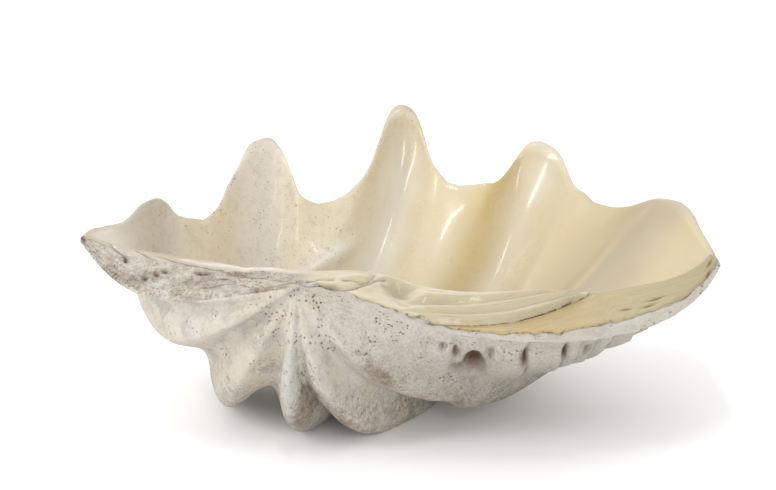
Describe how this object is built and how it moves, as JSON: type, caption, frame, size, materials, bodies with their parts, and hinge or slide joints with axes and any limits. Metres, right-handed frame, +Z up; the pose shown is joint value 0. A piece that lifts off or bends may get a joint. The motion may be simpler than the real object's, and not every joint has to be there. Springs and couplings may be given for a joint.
{
  "type": "giant clam half shell",
  "caption": "One scalloped valve of a giant clam with deep rib folds, lying hollow side up as an open bowl for display or for holding small things.",
  "frame": {"origin": "centre of the bounding box's bottom face, on the surface that the valve lies on", "axes": "+Z up out of the hollow, +X along the hinge towards the long end of the valve, +Y from the hinge towards the scalloped rim"},
  "size_m": [0.6768, 0.4772, 0.2719],
  "materials": {
    "shell": "glossy ivory hollow, chalky outside"
  },
  "bodies": {
    "root": {"clam_valve": "shell"}
  },
  "joints": []
}
